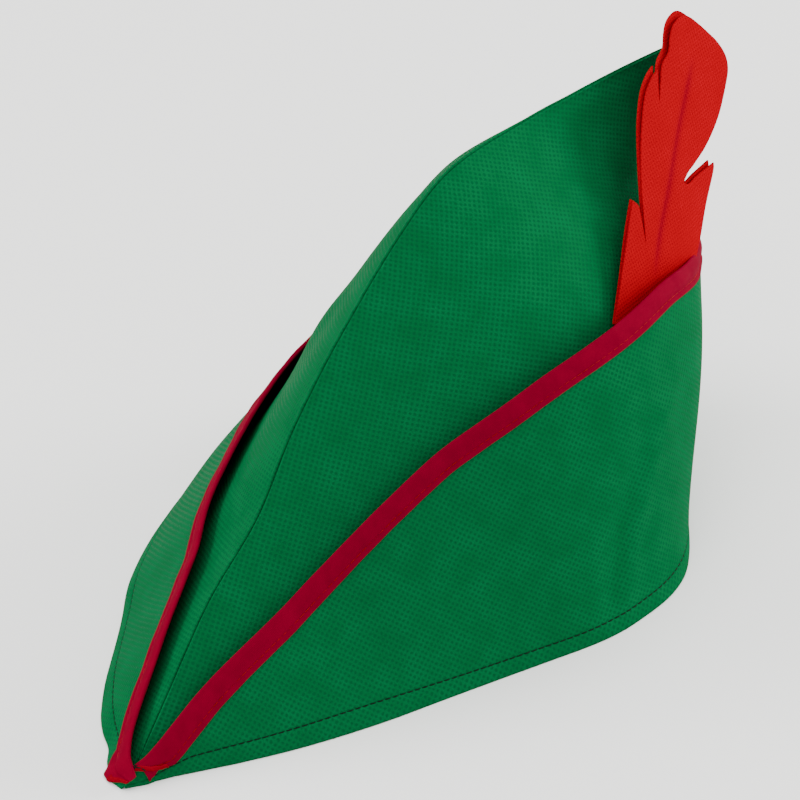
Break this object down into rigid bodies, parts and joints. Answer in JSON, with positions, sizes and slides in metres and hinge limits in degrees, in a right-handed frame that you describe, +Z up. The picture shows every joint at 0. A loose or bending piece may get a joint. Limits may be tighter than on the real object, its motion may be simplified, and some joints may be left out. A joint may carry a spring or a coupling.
{
  "type": "archer hat",
  "caption": "Pointed archer's costume hat of thin embossed cloth, sewn along a ridge, with a turned-up taped brim on each side that runs down to the front tip, and a cut-cloth feather.",
  "frame": {"origin": "middle of the hat's box from left to right and front to back, at the height of the rim's underside", "axes": "+Z up from the rim to the ridge; -Y is the pointed front tip and +Y the back; +X is the wearer's left, the side with the feather"},
  "size_m": [0.16, 0.2602, 0.154],
  "materials": {
    "hat_cloth": "matt green embossed non-woven cloth",
    "binding_tape": "crimson tape with a slight sheen",
    "feather_cloth": "matt red embossed non-woven cloth"
  },
  "bodies": {
    "root": {"crown_left": "hat_cloth", "crown_right": "hat_cloth", "cuff_left": "hat_cloth", "cuff_right": "hat_cloth", "binding_left": "binding_tape", "binding_right": "binding_tape", "feather_front": "feather_cloth", "feather_back": "feather_cloth"}
  },
  "joints": []
}
